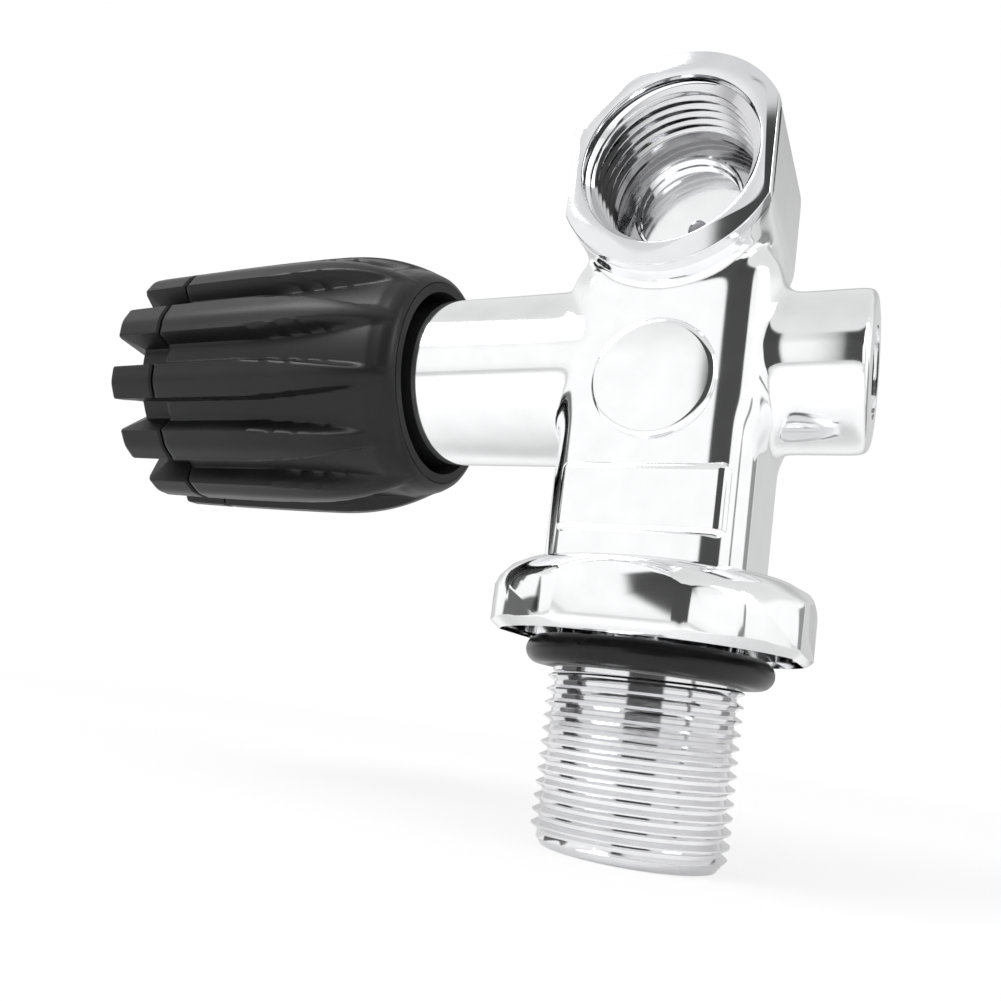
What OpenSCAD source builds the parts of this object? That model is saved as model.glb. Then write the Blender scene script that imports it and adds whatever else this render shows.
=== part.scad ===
// Cylinder valve: threaded inlet below, threaded outlet in front,
// handwheel on the left and a burst-disc plug in the right stub.
// Frame: +Z up, outlet towards -Y, handwheel towards -X.
// Origin: top of the full inlet thread, on its axis. The collar's underside
// is higher by the height of the seal's groove.

/* [Inlet] */
// Radius of the inlet thread
inlet_r = 13.1; // [12.5:0.1:13.5]
// Length of the full inlet thread, below the seal's groove
inlet_len = 23.6; // [20:0.2:28]
// Height of the groove that the neck seal sits in
groove_h = 4.4; // [4.2:0.1:5]
// Width of the wrench collar across its flats
collar_w = 41; // [38:0.5:44]
// Height of the wrench collar
collar_h = 10; // [8:0.5:12]
// Thickness of the neck seal's section
neck_seal_d = 4; // [3.4:0.1:4.1]

/* [Body] */
// Width of the neck above the collar
neck_w = 27; // [26:0.5:29]
// Depth of the neck, front to back
neck_d = 26; // [25:0.5:28]
// Height of the cross axis, which the handwheel turns about
cross_z = 43.2; // [42:0.1:44.5]
// Radius of the left boss
boss_r = 12.9; // [12:0.1:13.3]
// Distance of the left boss's end from the inlet axis
boss_end = 41; // [40:0.5:42]
// Radius of the right stub
stub_r = 10.8; // [10:0.1:12]
// Distance of the right stub's end from the inlet axis
stub_end = 25.5; // [24:0.5:28]

/* [Outlet] */
// Height of the outlet's axis
outlet_z = 66.7; // [65.5:0.1:68]
// Radius of the outlet head
head_r = 14.8; // [14.2:0.1:15.5]
// Half the width of the head between its two flats
head_flat = 13.3; // [13:0.1:14]
// Distance of the outlet face in front of the inlet axis
face_y = 17.6; // [17:0.1:19]
// Radius of the outlet's threaded wall
outlet_r = 10.3; // [10:0.1:10.8]
// Depth of the outlet's threaded wall
outlet_len = 11.5; // [10:0.5:12]

/* [Handwheel] */
// Largest radius of the handwheel over its ribs
wheel_r = 21.4; // [20:0.1:23]
// Number of ribs
ribs = 12; // [8:1:16]
// Distance of the handwheel's inner end from the inlet axis
wheel_in = 37.4; // [36.5:0.1:38]
// Distance of the parting line between grip and end cap
wheel_part = 80.4; // [78:0.2:82]
// Distance of the handwheel's outer end
wheel_out = 90; // [88:0.5:92]

/* [Hidden] */
$fn = 96;
eps = 0.01;
run = 0.05;                    // radial clearance of a running fit
snug = 0.03;                   // radial clearance of a fixed thread
groove_r = inlet_r - 0.5;      // bottom of the seal's groove
bore_r = 4;                    // inlet passage
seat_s = 13.5;                 // face of the seat ring, from the inlet axis
chamber_r = 7;                 // undercut around the seat
carrier_r = 6;                 // seat carrier's thread
carrier_out = 24;              // outer end of the seat carrier
bonnet_r = 8;                  // bonnet's thread
bonnet_in = 27;                // inner end of the bonnet
bonnet_hex = 19;               // bonnet's hexagon across its flats
bonnet_out = 46;               // outer end of the bonnet
stem_r = 4;                    // stem's shaft
stem_head_r = 6;               // stem's shoulder
stem_head_in = 28;             // inner face of the shoulder
stem_head_out = 30.6;          // outer face of the shoulder
drive_w = 5.6;                 // square drive of the stem
hub_in = 48.6;                 // inner face of the handwheel's hub
hub_out = 58;                  // outer face of the hub
nut_thread_r = 2.5;            // thread at the stem's outer end
shell_r = 17;                  // outside of the core's shell, inside of the grip
mouth_r = 14.4;                // opening that the boss goes into
face_depth = outlet_len + 1.2; // depth of the outlet's flat ring
floor_depth = face_depth + 1.6;
plug_r = 6;                    // burst plug's thread
plug_in = 13.9;                // inner end of the burst plug

// Turns a shape drawn along +Z so that it runs along -X from the inlet axis
// at the height of the cross axis, or along +X from there.
module to_left() { translate([0, 0, cross_z]) rotate([0, -90, 0]) children(); }
module to_right() { translate([0, 0, cross_z]) rotate([0, 90, 0]) children(); }
// Turns a shape drawn along +Z so that it runs backwards from the outlet face.
module into_outlet() { translate([0, -face_y, outlet_z]) rotate([-90, 0, 0]) children(); }

// A round bar between two distances.
module bar(r, from, to) { translate([0, 0, from]) cylinder(r = r, h = to - from); }

// A flat ring between two distances.
module ring(r_out, r_in, from, to) {
    difference() {
        bar(r_out, from, to);
        bar(r_in, from - 1, to + 1);
    }
}

// A seal with a round section.
module seal(r_mid, r_sec) { rotate_extrude() translate([r_mid, 0]) circle(r = r_sec, $fn = 48); }

// A hexagon bar, by its width across the flats.
module hexagon(flats, from, to) {
    translate([0, 0, from]) cylinder(r = flats / 2 / cos(30), h = to - from, $fn = 6);
}

// A block with round upright corners.
module round_block(w, d, h, r) {
    translate([-w / 2 + r, -d / 2, 0]) cube([w - 2 * r, d, h]);
    translate([-w / 2, -d / 2 + r, 0]) cube([w, d - 2 * r, h]);
    for (x = [-1, 1], y = [-1, 1])
        translate([x * (w / 2 - r), y * (d / 2 - r), 0]) cylinder(r = r, h = h);
}

// The wrench collar has four wide flats and two narrow ones on each corner.
module collar() {
    half = collar_w / 2;
    wide = half * 0.415;
    mid = wide + (half - wide) * 0.634;
    quarter = [[wide, -half], [mid, -mid], [half, -wide]];
    turn = [for (q = [0 : 3], p = quarter)
        [p[0] * cos(90 * q) - p[1] * sin(90 * q), p[0] * sin(90 * q) + p[1] * cos(90 * q)]];
    intersection() {
        linear_extrude(collar_h) polygon(turn);
        rotate_extrude() polygon([[0, 0], [half + 1, 0], [half + 2.4, 1.4],
            [half + 2.4, collar_h - 4.4], [half, collar_h - 1.6], [half - 3, collar_h], [0, collar_h]]);
    }
}

module valve_body() color("gainsboro") difference() {
    union() {
        translate([0, 0, -inlet_len]) rotate_extrude() polygon([[0, 0], [inlet_r - 1.2, 0],
            [inlet_r, 1.2], [inlet_r, inlet_len], [0, inlet_len]]);
        translate([0, 0, -1]) cylinder(r = groove_r, h = groove_h + 2);
        translate([0, 0, groove_h]) collar();
        translate([0, 0, groove_h + collar_h - 1]) round_block(neck_w, neck_d, cross_z - groove_h - collar_h, 5);
        translate([0, 0, cross_z - 14]) round_block(neck_w + 2, neck_d, 30, 6);
        to_left() bar(boss_r, 0, boss_end);
        to_right() rotate_extrude() polygon([[0, 0], [stub_r, 0], [stub_r, stub_end - 2],
            [stub_r - 0.6, stub_end - 0.6], [stub_r - 2, stub_end], [0, stub_end]]);
        // Round disc and shallow pad on the front are left bare.
        translate([0, -neck_d / 2 - 0.8, cross_z - 4.7]) rotate([-90, 0, 0]) cylinder(r = 8.4, h = 6);
        intersection() {
            into_outlet() cylinder(r = head_r, h = face_y + 9);
            translate([-head_flat, -50, 0]) cube([2 * head_flat, 100, 100]);
        }
    }
    translate([-11, -neck_d / 2 - 1, groove_h + 12.6]) cube([22, 1.4, 11]);
    // Outlet: lead-in, threaded wall, flat ring and the recess with the air hole.
    into_outlet() {
        rotate_extrude() polygon([[0, -1], [13.1, -1], [outlet_r, 1.8], [0, 1.8]]);
        bar(outlet_r, 1, outlet_len);
        bar(outlet_r + 0.9, outlet_len, face_depth);
        bar(7.1, face_depth - 1, floor_depth);
    }
    // Air hole from the recess down to the chamber around the seat.
    translate([1.2, -face_y + floor_depth - 1, outlet_z - 2]) rotate([0, -145, 0])
        rotate([8, 0, 0]) cylinder(r = 1.3, h = 22);
    // Inlet passage and filter seat.
    translate([0, 0, -inlet_len - 1]) cylinder(r = bore_r, h = inlet_len + cross_z + 4);
    translate([0, 0, -inlet_len - 1]) cylinder(r = 6.5, h = 10);
    // Chamber, carrier thread and bonnet thread, one behind another.
    to_left() {
        bar(2.2, -1, seat_s);
        bar(5.03, seat_s - 3, seat_s + eps);
        bar(chamber_r, seat_s, 16.5);
        bar(carrier_r + run, 16, bonnet_in);
        bar(bonnet_r + snug, bonnet_in - 0.5, boss_end + 1);
    }
    // Burst-disc port.
    to_right() {
        bar(3, -1, 13);
        bar(plug_r + snug, 12.5, stub_end + 1);
    }
}

module neck_o_ring() color("black")
    translate([0, 0, groove_h - neck_seal_d / 2 - 0.02]) seal(groove_r + neck_seal_d / 2 + 0.05, neck_seal_d / 2);

module inlet_filter() color("darkgoldenrod") translate([0, 0, -inlet_len]) ring(6.45, 1.6, 3.2, 8.8);

module filter_clip() color("silver") translate([0, 0, -inlet_len]) difference() {
    ring(6.47, 4.9, 2, 3);
    translate([0, -1.5, 1]) cube([10, 3, 3]);
}

module seat_ring() color("goldenrod") to_left() difference() {
    rotate_extrude() polygon([[2, seat_s - 2.9], [5, seat_s - 2.9], [5, seat_s - 0.8],
        [3.6, seat_s - 0.8], [2.9, seat_s], [2, seat_s]]);
}

module bonnet() color("goldenrod") to_left() difference() {
    union() {
        bar(bonnet_r, bonnet_in, boss_end + 0.5);
        intersection() {
            hexagon(bonnet_hex, boss_end + 0.4, bonnet_out);
            rotate_extrude() polygon([[0, boss_end], [11.6, boss_end], [11.6, bonnet_out - 1.4],
                [9.2, bonnet_out], [0, bonnet_out]]);
        }
    }
    bar(stem_r + run, bonnet_in - 1, bonnet_out + 1);
    bar(stem_head_r + 0.3, bonnet_in - 1, stem_head_out + 0.8);
    translate([0, 0, boss_end - 2]) ring(bonnet_r + 1, 6.9, 0, 1.6);
}

module bonnet_o_ring() color("black") to_left() translate([0, 0, boss_end - 1.2]) seal(7.46, 0.5);

module stem() color("goldenrod") to_left() difference() {
    union() {
        bar(stem_head_r, stem_head_in, stem_head_out);
        bar(stem_r, stem_head_out - eps, hub_in - 0.4);
        translate([-drive_w / 2, -drive_w / 2, hub_in - 0.5]) cube([drive_w, drive_w, hub_out - hub_in + 0.2]);
        bar(nut_thread_r, hub_out - 0.5, hub_out + 6.5);
        // Tongue that turns the seat carrier.
        translate([-4, -1, 19.9]) cube([8, 2, stem_head_in - 19.9 + eps]);
    }
    for (s = [34, 38.4]) translate([0, 0, s]) ring(stem_r + 1, 2.9, 0, 1.4);
}

module stem_o_rings() color("black") to_left()
    for (s = [34, 38.4]) translate([0, 0, s + 0.7]) seal(3.47, 0.55);

module thrust_washer() color("ivory") to_left() ring(5.9, stem_r + run, stem_head_out + 0.02, stem_head_out + 0.6);

module seat_carrier() color("goldenrod") to_left() difference() {
    bar(carrier_r, 15, carrier_out);
    bar(4.52, 14, 15.6);
    translate([-carrier_r - 1, -1.15, 16.6]) cube([2 * carrier_r + 2, 2.3, 10]);
}

module seat_disc() color("white") to_left() bar(4.5, seat_s + 0.1, 15.58);

// Radius of the rib tops at a distance s from the inlet axis: a barrel.
function crest(s) = wheel_r - 4.6 * pow(max(0, (58 - s) / 20.6), 2.4) - 0.5 * pow((s - 58) / 32, 2);
// A slice of the handwheel with its ribs, between two distances.
module ribbed(from, to, steps, floor_gap, mouth) {
    difference() {
        rotate_extrude() polygon(concat([[mouth, from], [crest(from), from]],
            [for (i = [1 : steps]) let (s = from + (to - from) * i / steps) [crest(s), s]], [[mouth, to]]));
        for (a = [0 : 360 / ribs : 359]) rotate(a)
            translate([wheel_r - floor_gap, -2.4, from + 3.2]) cube([8, 4.8, to - from + 8]);
    }
}

module wheel_core() color("dimgray") to_left() difference() {
    union() {
        ring(shell_r - 0.02, 14.8, wheel_in + 2.6, wheel_part - 1);
        ring(15.8, mouth_r, wheel_in, wheel_in + 3);
        bar(15.2, hub_in + 3, hub_in + 6.4);
        bar(7.6, hub_in, hub_out);
    }
    translate([-drive_w / 2 - 0.06, -drive_w / 2 - 0.06, hub_in - 1]) cube([drive_w + 0.12, drive_w + 0.12, 20]);
}

module wheel_grip() color("black") to_left() difference() {
    ribbed(wheel_in + 1.2, wheel_part, 18, 2.9, shell_r);
    bar(15.85, wheel_in, wheel_in + 3.2);
}

module wheel_cap() color("black") to_left() union() {
    difference() {
        ribbed(wheel_part + 0.4, wheel_out, 4, 3.9, 13);
        translate([0, 0, wheel_out - 3.4]) difference() {
            cylinder(r = 40, h = 10);
            for (a = [15 : 360 / ribs : 375]) rotate(a) translate([14, -2.9, -1]) cube([20, 5.8, 12]);
        }
    }
    bar(13.5, wheel_part + 1.2, wheel_part + 4);
    ring(14.7, 12.6, wheel_part - 4, wheel_part + 2);
}

module disc_springs() color("silver") to_left()
    for (i = [0 : 2]) translate([0, 0, bonnet_out + 0.3 + 0.72 * i]) rotate_extrude()
        polygon([[4.15, 0.25], [4.15, 0.6], [7.3, 0.35], [7.3, 0]]);

module wheel_washer() color("silver") to_left() ring(6.4, nut_thread_r + 0.1, hub_out + 0.02, hub_out + 1);

module wheel_nut() color("silver") to_left() difference() {
    hexagon(9, hub_out + 1.04, hub_out + 5);
    bar(nut_thread_r + snug, hub_out, hub_out + 6);
}

module burst_plug() color("silver") to_right() difference() {
    bar(plug_r, plug_in, stub_end - 0.4);
    bar(1.6, plug_in - 1, stub_end);
    hexagon(6, stub_end - 4.4, stub_end + 1);
}

module burst_disc() color("chocolate") to_right() bar(5.6, 13.04, 13.36);

module burst_gasket() color("ivory") to_right() ring(5.9, 3.2, 13.38, 13.88);

valve_body();
neck_o_ring();
inlet_filter();
filter_clip();
seat_ring();
bonnet();
bonnet_o_ring();
stem();
stem_o_rings();
thrust_washer();
seat_carrier();
seat_disc();
wheel_core();
wheel_grip();
wheel_cap();
disc_springs();
wheel_washer();
wheel_nut();
burst_plug();
burst_disc();
burst_gasket();
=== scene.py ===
import math

import bpy
from mathutils import Matrix, Vector


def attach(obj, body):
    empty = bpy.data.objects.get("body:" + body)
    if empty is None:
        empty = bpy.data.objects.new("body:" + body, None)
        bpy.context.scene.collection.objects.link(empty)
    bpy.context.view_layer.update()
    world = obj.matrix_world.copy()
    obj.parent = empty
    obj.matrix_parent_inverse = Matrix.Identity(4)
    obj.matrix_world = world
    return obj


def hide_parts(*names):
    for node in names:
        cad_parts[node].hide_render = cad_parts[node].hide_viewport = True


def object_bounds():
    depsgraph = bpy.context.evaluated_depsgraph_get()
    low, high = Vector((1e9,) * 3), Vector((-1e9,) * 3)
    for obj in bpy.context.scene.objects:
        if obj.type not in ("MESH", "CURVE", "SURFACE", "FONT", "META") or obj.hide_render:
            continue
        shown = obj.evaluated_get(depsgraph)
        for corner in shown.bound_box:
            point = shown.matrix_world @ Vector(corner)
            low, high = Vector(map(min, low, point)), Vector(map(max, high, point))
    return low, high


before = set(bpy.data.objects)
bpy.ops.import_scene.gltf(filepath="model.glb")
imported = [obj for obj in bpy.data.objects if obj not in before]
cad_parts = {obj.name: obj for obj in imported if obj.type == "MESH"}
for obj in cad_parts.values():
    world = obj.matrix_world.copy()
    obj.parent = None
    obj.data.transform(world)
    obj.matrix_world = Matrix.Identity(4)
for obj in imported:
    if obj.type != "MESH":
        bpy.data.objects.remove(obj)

cad_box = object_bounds()

# Camera: a short lens close to the valve, low and to its right, leaning a
# little. Lengths below are in millimetres until mm() turns them into metres.


def mm(value):
    return value * 0.001


CAMERA_PLACE = Vector((33.6, -130.4, -5.2))
CAMERA_YAW = math.radians(28.1)
CAMERA_PITCH = math.radians(6.9)
CAMERA_ROLL = math.radians(8.0)
bpy.context.scene.view_settings.view_transform = "Standard"
camera_data = bpy.data.cameras.new("camera")
camera_data.sensor_width = 36
camera_data.lens = 34.2
camera_data.shift_x = 0.074
camera_data.shift_y = 0.071
camera_data.clip_start = mm(5)
camera_data.dof.use_dof = False
camera = bpy.data.objects.new("camera", camera_data)
bpy.context.scene.collection.objects.link(camera)
look = Matrix.Rotation(CAMERA_YAW, 4, "Z") @ Matrix.Rotation(math.pi / 2 + CAMERA_PITCH, 4, "X")
camera.matrix_world = Matrix.Translation(mm(CAMERA_PLACE)) @ look @ Matrix.Rotation(CAMERA_ROLL, 4, "Z")
bpy.context.scene.camera = camera

# Studio: a pale sweep that the valve stands on, a bright room with a few dark
# cards for the chrome to mirror, and two large soft lamps.


class Socket:
    """A shader socket that sums and multiplies like a number."""

    def __init__(self, nodes, out):
        self.nodes = nodes
        self.out = out

    def _maths(self, kind, first, second):
        return self.nodes.add("ShaderNodeMath", {"operation": kind}, {0: first, 1: second})

    def __add__(self, other):
        return self._maths("ADD", self, other)

    def __radd__(self, other):
        return self._maths("ADD", other, self)

    def __sub__(self, other):
        return self._maths("SUBTRACT", self, other)

    def __rsub__(self, other):
        return self._maths("SUBTRACT", other, self)

    def __mul__(self, other):
        return self._maths("MULTIPLY", self, other)

    def __rmul__(self, other):
        return self._maths("MULTIPLY", other, self)


class Nodes:
    """The node tree of one material or of the world."""

    def __init__(self, tree):
        self.tree = tree
        tree.nodes.clear()

    def add(self, kind, settings=None, values=None, output=0):
        made = self.tree.nodes.new(kind)
        for name, value in (settings or {}).items():
            if name == "stops":
                ramp = made.color_ramp
                while len(ramp.elements) < len(value):
                    ramp.elements.new(0.5)
                for element, (place, colour) in zip(ramp.elements, value):
                    element.position = place
                    element.color = colour
            else:
                setattr(made, name, value)
        for name, value in (values or {}).items():
            if isinstance(value, Socket):
                self.tree.links.new(value.out, made.inputs[name])
            else:
                made.inputs[name].default_value = value
        return Socket(self, made.outputs[output]) if made.outputs else None


def grey(level):
    """A grey of one level, with full alpha."""
    return (level, level, level, 1)


world = bpy.data.worlds.new("studio")
world.use_nodes = True
bpy.context.scene.world = world
room = Nodes(world.node_tree)
direction = room.add("ShaderNodeTexCoord", output="Generated")



def side(axis):
    """One part of the direction that a ray leaves in."""
    return room.add("ShaderNodeSeparateXYZ", {}, {0: direction}, axis)


def step_up(value, start, end):
    """0 below start, 1 above end, and a soft slope between them."""
    limits = {"Value": value, "From Min": start, "From Max": end}
    return room.add("ShaderNodeMapRange", {"interpolation_type": "SMOOTHSTEP"}, limits)


def card(limits, soft):
    """1 inside a card that stands in the room, given by the directions it spans."""
    inside = 1.0
    for axis, (low, high) in zip("XYZ", limits):
        across = side(axis)
        past_low = step_up(across, low - soft, low + soft)
        past_high = step_up(across, high - soft, high + soft)
        inside = past_low * (1 - past_high) * inside
    return inside


CARDS = [
    (((-0.09, 0.62), (-1.5, -0.5), (-0.55, 0.62)), 0.025, 0.93),
    (((-1.5, -0.89), (-0.46, -0.2), (-0.64, 0.64)), 0.02, 0.8),
    (((-1.5, -0.93), (-0.35, 0.35), (-0.25, 0.16)), 0.02, 0.85),
    (((0.9, 1.5), (-0.34, -0.25), (-0.4, 0.4)), 0.02, 0.75),
    (((0.5, 0.8), (0.45, 1.5), (-0.4, 0.3)), 0.03, 0.7),
    (((-0.7, 0.5), (0.7, 1.5), (-0.7, 0.7)), 0.12, 0.38),
]
shade = 1.0
for limits, soft, depth in CARDS:
    shade = (1 - card(limits, soft) * depth) * shade
rise = side("Z") * 0.5 + 0.5
stops = [(0.0, grey(0.74)), (0.34, grey(0.8)), (0.5, grey(0.93)), (0.56, grey(1)), (0.7, grey(1)),
         (0.77, grey(0.8)), (1.0, grey(0.72))]
sides = room.add("ShaderNodeValToRGB", {"stops": stops}, {"Fac": rise})
seen = room.add("ShaderNodeLightPath", output="Is Camera Ray")
level = seen + (1 - seen) * shade * sides * 1.04
backdrop = room.add("ShaderNodeBackground", {}, {"Color": grey(1), "Strength": level})
room.add("ShaderNodeOutputWorld", {}, {"Surface": backdrop})


def ready():
    """Leaves nothing selected and no object in edit mode."""
    if bpy.context.object and bpy.context.object.mode != "OBJECT":
        bpy.ops.object.mode_set(mode="OBJECT")
    bpy.ops.object.select_all(action="DESELECT")


def material(name):
    """A new material and its nodes, cleared of the shader that came with it."""
    made = bpy.data.materials.new(name)
    made.use_nodes = True
    return made, Nodes(made.node_tree)


FLOOR_Z = cad_box[0][2] - mm(0.05)
ready()
bpy.ops.mesh.primitive_plane_add(size=mm(4000), location=(0, 0, FLOOR_Z))
sweep = bpy.context.object
sweep.name = "sweep"
paint, nodes = material("sweep_paint")
lit = nodes.add("ShaderNodeBsdfDiffuse", {}, {"Color": grey(0.9)})
glow = nodes.add("ShaderNodeEmission", {}, {"Color": grey(1), "Strength": 1.0})
path = nodes.add("ShaderNodeLightPath", output="Is Camera Ray")
place = nodes.add("ShaderNodeTexCoord", output="Object")
reach = nodes.add("ShaderNodeVectorMath", {"operation": "LENGTH"}, {0: place}, "Value")
far = nodes.add("ShaderNodeMapRange", {}, {"Value": reach, "From Min": mm(90), "From Max": mm(420)})
NEAR_GLOW = 0.75
share = path * (NEAR_GLOW + far * (1 - NEAR_GLOW))
both = nodes.add("ShaderNodeMixShader", {}, {0: share, 1: lit, 2: glow})
nodes.add("ShaderNodeOutputMaterial", {}, {"Surface": both})
sweep.data.materials.append(paint)


def lamp(name, place, size, power):
    """A soft square lamp that faces the middle of the valve."""
    data = bpy.data.lights.new(name, "AREA")
    data.size = mm(size)
    data.energy = power
    made = bpy.data.objects.new(name, data)
    bpy.context.scene.collection.objects.link(made)
    made.location = mm(Vector(place))
    made.rotation_euler = (Vector((-15, 0, 35)) - Vector(place)).to_track_quat("-Z", "Y").to_euler()


lamp("key_lamp", (-260, -300, 420), 260, 1.6)
lamp("fill_lamp", (380, -120, 260), 200, 0.5)

# Body: a brass forging, machined, polished and chromed. The neck, core, left
# boss, right stub and outlet head run into each other in soft fillets, so they
# are joined, remeshed and smoothed, and the bores are cut afterwards.
GROOVE_H = 4.4
CROSS_Z = 43.2
OUTLET_Z = 66.7
FACE_Y = -17.6
NECK_W = 27.0
NECK_D = 26.0
HEAD_R = 14.8
HEAD_FLAT = 13.3
BOSS_R = 12.9
BOSS_END = 41.0
STUB_R = 10.8
STUB_END = 25.5
COLLAR_H = 10.0


def chrome(name, bump, tone):
    """Polished chrome plate: bright, with faint waviness and fine wipe marks. Its grey is the given tone;
    the darker tones given to the outlet thread and recess are painted shade.
    """
    made, nodes = material(name)
    place = nodes.add("ShaderNodeTexCoord", output="Object")
    wave = nodes.add("ShaderNodeTexNoise", {}, {"Vector": place, "Scale": 240.0, "Detail": 2.0})
    haze = nodes.add("ShaderNodeTexNoise", {}, {"Vector": place, "Scale": 900.0, "Detail": 3.0})
    rough = 0.045 + wave * 0.05 + haze * 0.02
    bright = tuple(min(1.0, part * 1.06) for part in tone[:3]) + (1,)
    stops = [(0.3, tone), (0.75, bright)]
    colour = nodes.add("ShaderNodeValToRGB", {"stops": stops}, {"Fac": wave})
    relief = nodes.add("ShaderNodeBump", {}, {"Strength": bump, "Distance": mm(0.1), "Height": wave})
    values = {"Base Color": colour, "Metallic": 1.0, "Roughness": rough, "Normal": relief}
    plate = nodes.add("ShaderNodeBsdfPrincipled", {}, values)
    nodes.add("ShaderNodeOutputMaterial", {}, {"Surface": plate})
    return made


body_chrome = chrome("body_chrome", 0.03, (0.91, 0.915, 0.92, 1))


def cylinder(r, start, end, corners=96):
    """A bar from one point to another, in millimetres."""
    ready()
    start = Vector(start)
    run = Vector(end) - start
    bpy.ops.mesh.primitive_cylinder_add(vertices=corners, radius=mm(r), depth=mm(run.length))
    made = bpy.context.object
    heading = run.to_track_quat("Z", "Y").to_matrix().to_4x4()
    made.matrix_world = Matrix.Translation(mm(start + run / 2)) @ heading
    settle(made)
    return made


def pick(piece):
    """Makes a piece the only one selected, and the active one."""
    ready()
    piece.select_set(True)
    bpy.context.view_layer.objects.active = piece


def settle(piece):
    """Puts a piece's place into its mesh."""
    pick(piece)
    bpy.ops.object.transform_apply(location=True, rotation=True, scale=True)


def use(piece, kind, **settings):
    """Adds a modifier and applies it at once."""
    pick(piece)
    modifier = piece.modifiers.new(kind, kind)
    for name, value in settings.items():
        setattr(modifier, name, value)
    bpy.ops.object.modifier_apply(modifier=modifier.name)


def block(low, high, edge):
    """A box between two corners with round upright edges."""
    ready()
    low = Vector(low)
    high = Vector(high)
    bpy.ops.mesh.primitive_cube_add(size=1, location=mm((low + high) / 2))
    made = bpy.context.object
    made.scale = mm(high - low)
    settle(made)
    if edge:
        bpy.ops.object.mode_set(mode="EDIT")
        bpy.ops.mesh.select_all(action="DESELECT")
        bpy.ops.object.mode_set(mode="OBJECT")
        for side in made.data.edges:
            a, b = (made.data.vertices[i].co for i in side.vertices)
            side.select = abs(a.z - b.z) > mm(1)
        bpy.ops.object.mode_set(mode="EDIT")
        bpy.ops.mesh.bevel(offset=mm(edge), segments=8, affect="EDGES")
        bpy.ops.object.mode_set(mode="OBJECT")
    return made


def join(parts):
    """Joins meshes into the first one."""
    ready()
    for part in parts:
        part.select_set(True)
    bpy.context.view_layer.objects.active = parts[0]
    bpy.ops.object.join()
    return parts[0]


def cut(piece, tool, operation="DIFFERENCE"):
    """Takes a tool's shape out of a piece and throws the tool away."""
    use(piece, "BOOLEAN", object=tool, operation=operation, solver="EXACT")
    bpy.data.objects.remove(tool, do_unlink=True)


def finish_piece(piece, name, body, look, smooth_angle, nodes_replaced=()):
    """Names, shades and places a finished piece on its body."""
    piece.name = name
    piece.data.name = name
    piece.data.materials.clear()
    piece.data.materials.append(look)
    pick(piece)
    bpy.ops.object.shade_smooth_by_angle(angle=math.radians(smooth_angle))
    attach(piece, body)
    if nodes_replaced:
        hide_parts(*nodes_replaced)


HEAD_BACK = 8.6
head = cylinder(HEAD_R, (0, FACE_Y + 0.1, OUTLET_Z), (0, HEAD_BACK, OUTLET_Z))
cut(head, block((-HEAD_FLAT, -40, 30), (HEAD_FLAT, 40, 90), 0), operation="INTERSECT")
casting = join([
    head,
    block((-NECK_W / 2, -NECK_D / 2, GROOVE_H + 3), (NECK_W / 2, NECK_D / 2, CROSS_Z), 5),
    block((-NECK_W / 2 - 1, -NECK_D / 2, CROSS_Z - 14), (NECK_W / 2 + 1, NECK_D / 2, CROSS_Z + 15.5), 6),
    cylinder(BOSS_R, (0, 0, CROSS_Z), (-BOSS_END, 0, CROSS_Z)),
    cylinder(STUB_R, (0, 0, CROSS_Z), (STUB_END, 0, CROSS_Z)),
])
VOXEL = 0.4
use(casting, "REMESH", mode="VOXEL", voxel_size=mm(VOXEL), adaptivity=0)
use(casting, "SMOOTH", factor=0.5, iterations=int(60 * (0.4 / VOXEL) ** 2))
BORES = [
    (11.6, (0, FACE_Y - 5, OUTLET_Z), (0, FACE_Y + 12.7, OUTLET_Z)),
    (7.1, (0, FACE_Y, OUTLET_Z), (0, FACE_Y + 14.3, OUTLET_Z)),
    (8.03, (-26.5, 0, CROSS_Z), (-BOSS_END - 3, 0, CROSS_Z)),
    (6.05, (-13.5, 0, CROSS_Z), (-28, 0, CROSS_Z)),
    (6.03, (12.5, 0, CROSS_Z), (STUB_END + 3, 0, CROSS_Z)),
    (1.3, (1.2, FACE_Y + 13, OUTLET_Z - 2.2), (1.2, FACE_Y + 19, OUTLET_Z - 5)),
]
for radius, start, end in BORES:
    cut(casting, cylinder(radius, start, end))
front = cylinder(30, (0, FACE_Y - 20, OUTLET_Z + 6), (0, FACE_Y + 2, OUTLET_Z + 6))
cut(casting, front)
finish_piece(casting, "body_casting", "valve", body_chrome, 60, ("valve_body",))

# Outlet: the machined front of the head, a flat ring with two flats milled on
# its sides, a lead-in, a parallel thread, and the flat ring and recess behind.
RING_DEPTH = 2.2
THREAD_MAJOR = 11.46
THREAD_MINOR = 10.3
THREAD_PITCH = 1.814
ring = cylinder(HEAD_R - 0.12, (0, FACE_Y, OUTLET_Z), (0, FACE_Y + RING_DEPTH, OUTLET_Z), 160)
cut(ring, block((-HEAD_FLAT + 0.12, -40, 30), (HEAD_FLAT - 0.12, 40, 90), 0), operation="INTERSECT")
cut(ring, cylinder(THREAD_MAJOR + 0.02, (0, FACE_Y - 5, OUTLET_Z), (0, FACE_Y + 9, OUTLET_Z), 160))


def bevel_front(piece, limit, amount, segments):
    """Rounds the sharp edges that lie in front of a plane."""
    ready()
    weights = piece.data.attributes.new("bevel_weight_edge", "FLOAT", "EDGE")
    for edge in piece.data.edges:
        a, b = (piece.data.vertices[i].co for i in edge.vertices)
        if max(a.y, b.y) < mm(limit):
            weights.data[edge.index].value = 1.0
    use(piece, "BEVEL", width=mm(amount), segments=segments, limit_method="WEIGHT")


bevel_front(ring, FACE_Y + 0.05, 0.55, 3)
ring_chrome = chrome("ring_chrome", 0.03, (0.78, 0.785, 0.795, 1))
finish_piece(ring, "outlet_ring", "valve", ring_chrome, 40)


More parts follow.
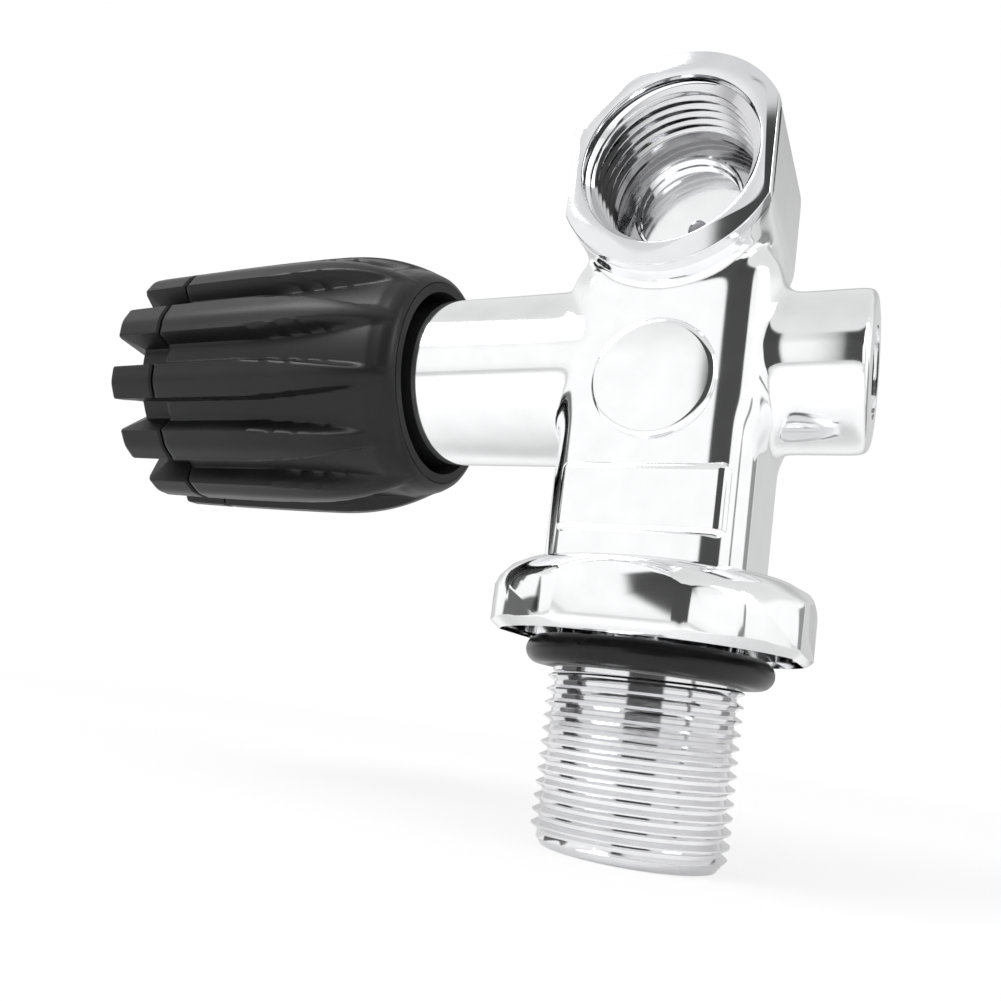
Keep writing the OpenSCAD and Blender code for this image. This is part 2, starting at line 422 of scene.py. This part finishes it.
def profile(outline):
    """Draws an open line through (radius, height) points and stays in edit mode."""
    ready()
    bpy.ops.mesh.primitive_plane_add(size=1)
    made = bpy.context.object
    bpy.ops.object.mode_set(mode="EDIT")
    bpy.ops.mesh.select_all(action="SELECT")
    bpy.ops.mesh.merge(type="CENTER")
    bpy.ops.object.mode_set(mode="OBJECT")
    made.data.vertices[0].co = (mm(outline[0][0]), 0, mm(outline[0][1]))
    bpy.ops.object.mode_set(mode="EDIT")
    bpy.ops.mesh.select_all(action="SELECT")
    for (r0, z0), (r1, z1) in zip(outline, outline[1:]):
        step = (mm(r1 - r0), 0, mm(z1 - z0))
        bpy.ops.mesh.extrude_region_move(TRANSFORM_OT_translate={"value": step})
    return made


def lathe(outline, corners=160):
    """Turns an outline of (radius, height) points about +Z, in millimetres."""
    made = profile(outline)
    bpy.ops.mesh.select_all(action="SELECT")
    bpy.ops.mesh.spin(steps=corners, angle=math.tau, center=(0, 0, 0), axis=(0, 0, 1))
    bpy.ops.mesh.select_all(action="SELECT")
    bpy.ops.mesh.remove_doubles(threshold=mm(0.002))
    bpy.ops.mesh.normals_make_consistent(inside=False)
    bpy.ops.object.mode_set(mode="OBJECT")
    return made


def thread(root, crest, pitch, length, corners=128):
    """A helical thread along +Z from the origin, with flat crests and roots."""
    tooth = [(root, 0), (root, 0.12), (crest, 0.44), (crest, 0.56), (root, 0.88), (root, 1)]
    made = profile([(radius, pitch * share) for radius, share in tooth])
    bpy.ops.object.mode_set(mode="OBJECT")
    turns = int(length / pitch) + 2
    use(made, "SCREW", axis="Z", angle=math.tau, screw_offset=mm(pitch), iterations=turns, steps=corners,
        render_steps=corners, use_merge_vertices=True, merge_threshold=mm(0.002))
    made.location.z = -mm(pitch)
    settle(made)
    trim(made, 0, True)
    trim(made, length, False)
    return made


def trim(piece, height, below):
    """Cuts a piece off below or above a height and leaves the end open."""
    pick(piece)
    bpy.ops.object.mode_set(mode="EDIT")
    bpy.ops.mesh.select_all(action="SELECT")
    plane = {"plane_co": (0, 0, mm(height)), "plane_no": (0, 0, 1)}
    bpy.ops.mesh.bisect(clear_inner=below, clear_outer=not below, **plane)
    bpy.ops.object.mode_set(mode="OBJECT")


def stand(piece, place, turn, axis):
    """Turns a piece that was made about +Z and moves it into place."""
    piece.matrix_world = Matrix.Translation(mm(Vector(place))) @ Matrix.Rotation(math.radians(turn), 4, axis)
    settle(piece)


inner = thread(THREAD_MAJOR, THREAD_MINOR, THREAD_PITCH, 9.6)
stand(inner, (0, FACE_Y + 1.5, OUTLET_Z), -90, "X")
pick(inner)
bpy.ops.object.mode_set(mode="EDIT")
bpy.ops.mesh.select_all(action="SELECT")
bpy.ops.mesh.normals_make_consistent(inside=True)
bpy.ops.object.mode_set(mode="OBJECT")
# The thread's chrome is a darker grey than the body's: painted shade inside the outlet bore.
thread_chrome_painted_shade = chrome("thread_chrome_painted_shade", 0.2, (0.66, 0.66, 0.67, 1))
finish_piece(inner, "outlet_thread", "valve", thread_chrome_painted_shade, 30)
seat_liner = lathe([
    (THREAD_MAJOR + 0.6, 0.45), (12.35, 0.45), (THREAD_MAJOR, 1.6), (THREAD_MINOR + 0.15, 2.3),
    (THREAD_MAJOR, 2.5), (THREAD_MAJOR + 0.6, 2.5), (THREAD_MAJOR + 0.6, 0.45)])
stand(seat_liner, (0, FACE_Y, OUTLET_Z), -90, "X")
finish_piece(seat_liner, "outlet_lead_in", "valve", body_chrome, 40)
step = lathe([
    (11.7, 10.4), (THREAD_MAJOR, 10.4), (10.25, 11.1), (10.1, 12.3), (7.6, 12.5), (7.2, 12.9), (7.15, 14.1),
    (6.9, 14.35), (2.2, 14.4), (1.5, 14.7), (1.5, 16.5), (11.7, 16.5), (11.7, 10.4)])
stand(step, (0, FACE_Y, OUTLET_Z), -90, "X")
# The recess's chrome is darker still: painted shade at the back of the outlet bore.
recess_chrome_painted_shade = chrome("recess_chrome_painted_shade", 0.35, (0.5, 0.5, 0.51, 1))
finish_piece(step, "outlet_recess", "valve", recess_chrome_painted_shade, 30)

# Collar: the part of the forging that a spanner turns, with four wide flats
# and two narrow ones on each corner, all with softened edges.
COLLAR_HALF = 20.5
COLLAR_WIDE = COLLAR_HALF * 0.415
COLLAR_MID = COLLAR_WIDE + (COLLAR_HALF - COLLAR_WIDE) * 0.634
ready()
bpy.ops.mesh.primitive_circle_add(vertices=12, radius=mm(COLLAR_HALF), fill_type="NGON")
collar = bpy.context.object
corner = [(COLLAR_WIDE, -COLLAR_HALF), (COLLAR_MID, -COLLAR_MID), (COLLAR_HALF, -COLLAR_WIDE)]
for index, vertex in enumerate(collar.data.vertices):
    place = Vector((*corner[index % 3], 0))
    place.rotate(Matrix.Rotation(math.pi / 2 * (index // 3), 3, "Z"))
    vertex.co = mm(place)
bpy.ops.object.mode_set(mode="EDIT")
bpy.ops.mesh.select_all(action="SELECT")
bpy.ops.mesh.extrude_region_move(TRANSFORM_OT_translate={"value": (0, 0, mm(COLLAR_H))})
bpy.ops.mesh.select_all(action="SELECT")
bpy.ops.mesh.normals_make_consistent(inside=False)
bpy.ops.object.mode_set(mode="OBJECT")
use(collar, "BEVEL", width=mm(1.1), segments=4, limit_method="ANGLE", angle_limit=math.radians(20))
dome = lathe([
    (0.01, 0), (20.6, 0), (22.3, 1.2), (22.4, 5.2), (21.6, 7.2), (20.2, 8.8), (18.4, 9.75),
    (16.6, 9.98), (0.01, 9.98)])
cut(collar, dome, operation="INTERSECT")
cut(collar, cylinder(12.4, (0, 0, -4), (0, 0, 8)))
stand(collar, (0, 0, GROOVE_H), 0, "X")
finish_piece(collar, "collar", "valve", body_chrome, 26)

# Inlet: the threaded spigot under the collar that screws into the cylinder,
# with a smooth relief under the neck seal and a hollow end for the filter.
INLET_R = 13.1
INLET_END = -23.6
THREAD_DEPTH = 0.95
spigot = thread(INLET_R - THREAD_DEPTH, INLET_R, THREAD_PITCH, 23)
stand(spigot, (0, 0, INLET_END + 0.6), 0, "X")
for vertex in spigot.data.vertices:
    allowed = mm(INLET_R) - max(0.0, mm(INLET_END + 1.9) - vertex.co.z) * 0.8
    radius = math.hypot(vertex.co.x, vertex.co.y)
    if radius > allowed:
        vertex.co.x *= allowed / radius
        vertex.co.y *= allowed / radius
spigot_chrome = chrome("spigot_chrome", 0.3, (0.8, 0.8, 0.81, 1))
finish_piece(spigot, "inlet_thread", "valve", spigot_chrome, 30)
sleeve = lathe([
    (4, INLET_END + 9), (6.5, INLET_END + 9), (6.5, INLET_END + 0.3), (6.8, INLET_END), (11.6, INLET_END),
    (12.05, INLET_END + 0.7), (12.05, -0.6), (12.58, -0.3), (12.58, 10), (4, 10), (4, INLET_END + 9)])
finish_piece(sleeve, "inlet_sleeve", "valve", spigot_chrome, 30)

# Marking places: a round raised disc and a shallow pad, both bare.
FRONT_Y = -NECK_D / 2
disc = lathe([(0.01, 0.78), (7.2, 0.78), (7.75, 0.7), (8.1, 0.45), (8.3, -0.4), (8.4, -2.5), (0.01, -2.5)])
stand(disc, (0, FRONT_Y, CROSS_Z - 4.7), 90, "X")
finish_piece(disc, "marking_disc", "valve", body_chrome, 50)

PAD_LOW = GROOVE_H + 13.0
PAD_HIGH = GROOVE_H + 23.4
pad = block((-11.2, FRONT_Y - 0.34, PAD_LOW), (11.2, FRONT_Y + 3, PAD_HIGH), 0)
pick(pad)
for edge in pad.data.edges:
    a, b = (pad.data.vertices[i].co for i in edge.vertices)
    edge.select = abs(a.y - b.y) > mm(1)
bpy.ops.object.mode_set(mode="EDIT")
bpy.ops.mesh.bevel(offset=mm(1.6), segments=8, affect="EDGES")
bpy.ops.object.mode_set(mode="OBJECT")
bevel_front(pad, FRONT_Y - 0.3, 0.3, 3)
finish_piece(pad, "marking_pad", "valve", body_chrome, 40)

# Handwheel grip: a barrel of moulded black rubber with ribs along it. Each
# groove has a flat floor at one radius, so it runs out where the barrel
# narrows to its mouth. It is bonded to the plastic core.
WHEEL_R = 21.4
WHEEL_IN = 37.4
WHEEL_PART = 80.4
WHEEL_OUT = 90.0
RIBS = 12
AROUND = RIBS * 36


def crest(s):
    """Radius over the ribs at a distance from the inlet's axis."""
    return WHEEL_R - 4.6 * max(0.0, (58 - s) / 20.6) ** 2.4 - 0.5 * ((s - 58) / 32) ** 2


def smooth(value):
    """Eases from 0 to 1 and stays there beyond."""
    value = min(max(value, 0.0), 1.0)
    return value * value * (3 - 2 * value)


def rib_share(s, turn):
    """Distance from a groove's middle, and 0 on its floor to 1 on a rib."""
    pitch = math.tau / RIBS
    off = abs((turn + pitch / 2) % pitch - pitch / 2) * crest(s)
    flat = 1.75 + 1.25 * smooth((66 - s) / 26)
    return off, smooth((off - flat) / 1.1)


def ribbed_radius(s, turn, floor_r):
    """Radius of the ribbed surface at a distance and an angle round the axis."""
    top = crest(s)
    pitch = math.tau / RIBS
    off, wall = rib_share(s, turn)
    crown = 0.3 * smooth((pitch / 2 * top - off) / 2.6)
    low = min(floor_r, top - 0.35 * smooth((s - 39) / 2))
    return low + (top - crown * wall - low) * wall


def ribbed_shell(start, end, rings, floor_r, inner_r, round_start, round_end, mouth_r, mouth_end):
    """A closed ribbed sleeve with rounded ends and a narrower mouth up to a distance."""
    inner_rings = 12
    section = rings + inner_rings + 2
    ready()
    bpy.ops.mesh.primitive_grid_add(x_subdivisions=AROUND, y_subdivisions=section)
    made = bpy.context.object
    for index, vertex in enumerate(made.data.vertices):
        turn = math.tau * (index % (AROUND + 1)) / AROUND
        row = index // (AROUND + 1) % section
        if row <= rings:
            s = start + (end - start) * row / rings
            radius = ribbed_radius(s, turn, floor_r)
            for gap, amount in ((s - start, round_start), (end - s, round_end)):
                left = amount - max(gap, 0.0)
                if left > 0:
                    radius -= amount - math.sqrt(amount ** 2 - left ** 2)
        else:
            s = end - (end - start) * (row - rings - 1) / inner_rings
            radius = mouth_r if s < mouth_end else inner_r
        vertex.co = mm(Vector((-s, radius * math.sin(turn), CROSS_Z + radius * math.cos(turn))))
    bpy.ops.object.mode_set(mode="EDIT")
    bpy.ops.mesh.select_all(action="SELECT")
    bpy.ops.mesh.remove_doubles(threshold=mm(0.001))
    bpy.ops.mesh.normals_make_consistent(inside=False)
    bpy.ops.object.mode_set(mode="OBJECT")
    return made


def rubber(name, low, high, rough, grain):
    """Black moulded rubber with a fine grain and slight wear."""
    made, nodes = material(name)
    place = nodes.add("ShaderNodeTexCoord", output="Object")
    fine = nodes.add("ShaderNodeTexNoise", {}, {"Vector": place, "Scale": grain, "Detail": 4.0})
    broad = nodes.add("ShaderNodeTexNoise", {}, {"Vector": place, "Scale": 90.0, "Detail": 3.0})
    colour = nodes.add("ShaderNodeValToRGB", {"stops": [(0.3, low), (0.72, high)]}, {"Fac": broad})
    grains = {"Strength": 0.14, "Distance": mm(0.06), "Height": fine + broad * 0.4}
    relief = nodes.add("ShaderNodeBump", {}, grains)
    values = {"Base Color": colour, "Roughness": rough + broad * 0.14, "Normal": relief,
              "Specular IOR Level": 0.3}
    skin = nodes.add("ShaderNodeBsdfPrincipled", {}, values)
    nodes.add("ShaderNodeOutputMaterial", {}, {"Surface": skin})
    return made


grip_rubber = rubber("grip_rubber", (0.006, 0.006, 0.0065, 1), (0.011, 0.011, 0.0115, 1), 0.3, 2600.0)
cap_rubber = rubber("cap_rubber", (0.005, 0.005, 0.0055, 1), (0.009, 0.009, 0.0095, 1), 0.33, 2600.0)
GRIP_FLOOR = 18.2
CORE_R = 17.05
MOUTH_R = 15.9
MOUTH_END = 40.9
grip = ribbed_shell(WHEEL_IN + 0.1, WHEEL_PART, 72, GRIP_FLOOR, CORE_R, 0.6, 0.35, MOUTH_R, MOUTH_END)
finish_piece(grip, "grip", "handwheel", grip_rubber, 50, ("wheel_grip",))

# Handwheel cap: a second moulding of black rubber, pressed into the outer end
# of the core. Its ribs stand past its rim as teeth, round a plain closing disc.
NOTCH = 86.6
CAP_FLOOR = 16.8
CAP_INNER = 13.1
cap = ribbed_shell(WHEEL_PART + 0.4, WHEEL_OUT, 30, CAP_FLOOR, CAP_INNER, 0.35, 0.9, CAP_INNER, 0)
for vertex in cap.data.vertices:
    s = -vertex.co.x * 1000
    if s > NOTCH:
        share = rib_share(s, math.atan2(vertex.co.y, vertex.co.z - mm(CROSS_Z)))[1]
        vertex.co.x = -mm(NOTCH + (s - NOTCH) * share)
cap_disc = lathe([
    (0.01, 84.9), (3, 84.85), (8, 84.6), (11.6, 84.3), (12.6, 84.4), (13.2, 84.4), (13.2, 81.6),
    (12.4, 81.6), (12.4, 77), (14.6, 77), (14.6, 80.7), (13.3, 80.7), (12, 81), (0.01, 81)])
stand(cap_disc, (0, 0, CROSS_Z), -90, "Y")
cap = join([cap, cap_disc])
finish_piece(cap, "cap", "handwheel", cap_rubber, 40, ("wheel_cap",))

# Hidden working parts keep their machined solids: the bonnet, stem and seat
# carrier are turned brass, the seat and washers are white plastic, and the
# springs, clip, nut and washer are bright steel.


def machined(name, low, high, metallic, rough, lines):
    """Metal or plastic with fine turning lines across the X axis."""
    made, nodes = material(name)
    place = nodes.add("ShaderNodeTexCoord", output="Object")
    fine = nodes.add("ShaderNodeTexNoise", {}, {"Vector": place, "Scale": 700.0, "Detail": 3.0})
    turned = nodes.add("ShaderNodeTexWave", {"bands_direction": "X"},
                       {"Vector": place, "Scale": lines, "Distortion": 0.4}, "Fac")
    colour = nodes.add("ShaderNodeValToRGB", {"stops": [(0.3, low), (0.7, high)]}, {"Fac": fine})
    marks = {"Strength": 0.12, "Distance": mm(0.05), "Height": turned + fine * 0.5}
    relief = nodes.add("ShaderNodeBump", {}, marks)
    values = {"Base Color": colour, "Metallic": metallic, "Roughness": rough + fine * 0.12, "Normal": relief}
    skin = nodes.add("ShaderNodeBsdfPrincipled", {}, values)
    nodes.add("ShaderNodeOutputMaterial", {}, {"Surface": skin})
    return made


brass = machined("turned_brass", (0.62, 0.43, 0.16, 1), (0.74, 0.55, 0.25, 1), 1.0, 0.22, 900.0)
bronze = machined("sintered_bronze", (0.3, 0.18, 0.07, 1), (0.5, 0.33, 0.14, 1), 1.0, 0.55, 50.0)
copper = machined("copper_foil", (0.6, 0.27, 0.14, 1), (0.72, 0.37, 0.22, 1), 1.0, 0.3, 300.0)
steel = machined("bright_steel", (0.5, 0.5, 0.51, 1), (0.64, 0.64, 0.65, 1), 1.0, 0.25, 900.0)
plastic = machined("white_plastic", (0.78, 0.76, 0.7, 1), (0.85, 0.84, 0.8, 1), 0.0, 0.45, 500.0)


seal_rubber = rubber("seal_rubber", (0.006, 0.006, 0.006, 1), (0.014, 0.014, 0.014, 1), 0.22, 1200.0)
core_plastic = rubber("core_plastic", (0.012, 0.012, 0.012, 1), (0.02, 0.02, 0.02, 1), 0.5, 1500.0)
plug_chrome = chrome("plug_chrome", 0.06, (0.7, 0.7, 0.72, 1))
KEPT = {
    "neck_o_ring": seal_rubber, "bonnet_o_ring": seal_rubber, "stem_o_rings": seal_rubber,
    "inlet_filter": bronze, "filter_clip": steel, "seat_ring": brass, "bonnet": brass,
    "stem": brass, "thrust_washer": plastic, "seat_carrier": brass, "seat_disc": plastic,
    "wheel_core": core_plastic, "disc_springs": steel, "wheel_washer": steel, "wheel_nut": steel,
    "burst_plug": plug_chrome, "burst_disc": copper, "burst_gasket": plastic,
}
for name, look in KEPT.items():
    kept = bpy.data.objects[name]
    kept.data.materials.clear()
    kept.data.materials.append(look)
